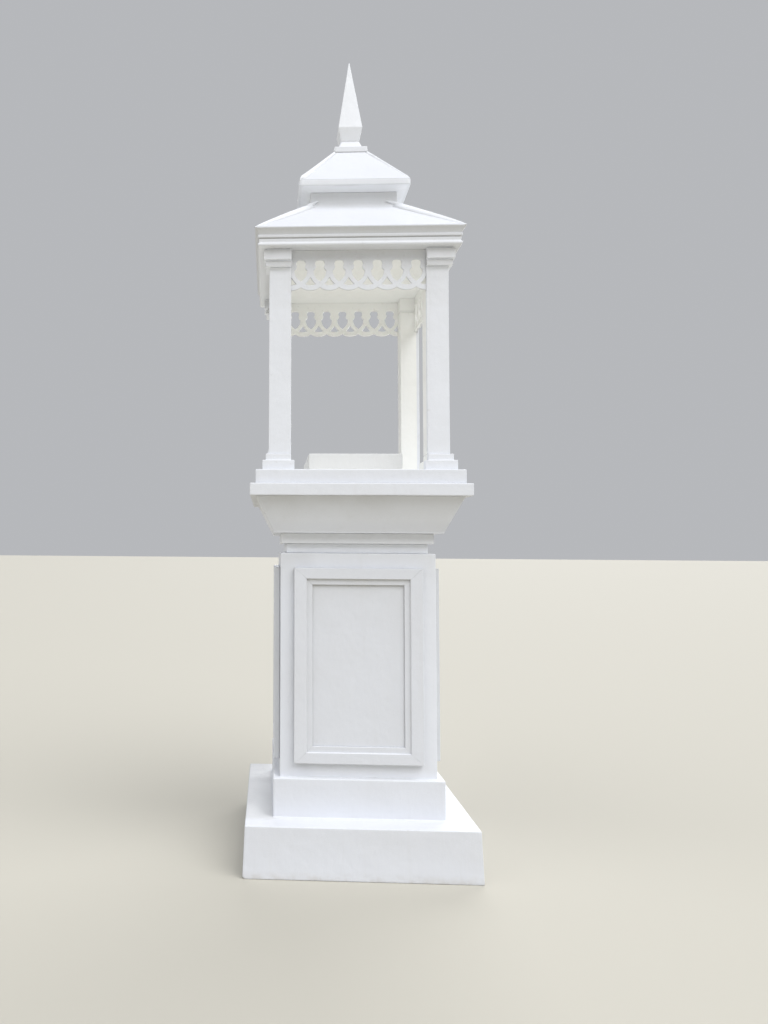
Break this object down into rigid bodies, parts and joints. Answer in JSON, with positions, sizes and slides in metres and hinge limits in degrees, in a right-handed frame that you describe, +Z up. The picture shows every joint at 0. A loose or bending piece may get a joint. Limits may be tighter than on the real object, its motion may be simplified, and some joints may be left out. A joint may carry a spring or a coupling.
{
  "type": "spirit house shrine",
  "caption": "White masonry spirit house: a square panelled pedestal with a flared head that carries an open shrine with corner columns, fretted boards, two hipped roofs and a spire.",
  "frame": {"origin": "centre of the foot of the plinth, on the ground", "axes": "+Z up, the front faces -Y, +X to the right seen from the front"},
  "size_m": [1.034, 1.034, 3.96],
  "materials": {
    "white_masonry": "matt white exterior paint",
    "white_board": "matt off-white paint"
  },
  "bodies": {
    "root": {"back_fret": "white_board", "back_left_capital": "white_masonry", "back_left_column": "white_masonry", "back_left_column_base": "white_masonry", "back_panel": "white_masonry", "back_right_capital": "white_masonry", "back_right_column": "white_masonry", "back_right_column_base": "white_masonry", "bell": "white_masonry", "body": "white_masonry", "collar": "white_masonry", "cornice": "white_masonry", "finial": "white_masonry", "frieze": "white_masonry", "front_fret": "white_board", "front_left_capital": "white_masonry", "front_left_column": "white_masonry", "front_left_column_base": "white_masonry", "front_panel": "white_masonry", "front_right_capital": "white_masonry", "front_right_column": "white_masonry", "front_right_column_base": "white_masonry", "left_fret": "white_board", "left_panel": "white_masonry", "lower_roof": "white_masonry", "lower_slab": "white_masonry", "neck": "white_masonry", "neck_band": "white_masonry", "offering_step": "white_masonry", "plinth": "white_masonry", "right_fret": "white_board", "right_panel": "white_masonry", "sub_base": "white_masonry", "upper_eave": "white_masonry", "upper_roof": "white_masonry", "upper_slab": "white_masonry"}
  },
  "joints": []
}
